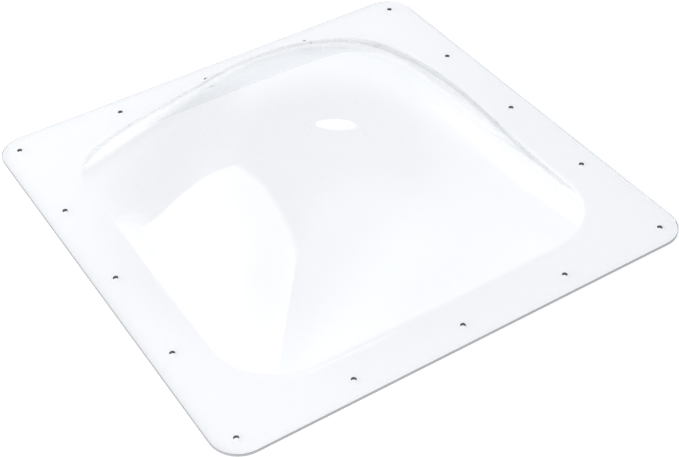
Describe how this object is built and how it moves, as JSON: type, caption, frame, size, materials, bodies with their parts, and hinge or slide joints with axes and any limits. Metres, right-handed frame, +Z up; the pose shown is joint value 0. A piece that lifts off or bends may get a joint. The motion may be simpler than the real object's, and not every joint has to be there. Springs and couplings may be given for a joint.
{
  "type": "roof vent dome cover",
  "caption": "Clear square dome cover, blown from one flat plastic sheet, with a drilled flange that screws down over a roof vent or skylight opening.",
  "frame": {"origin": "centre of the flange's underside, on the surface that lies on the roof", "axes": "+Z up out of the roof through the dome's crown; X and Y along the flange's sides; -Y is the side towards the viewer's right, and the off-pitch hole is in the +Y side"},
  "size_m": [0.4572, 0.4572, 0.118],
  "materials": {
    "clear_sheet": "clear, glossy polycarbonate sheet with a faint cool tint; its cut edges look grey"
  },
  "bodies": {
    "root": {"dome_cover": "clear_sheet"}
  },
  "joints": []
}
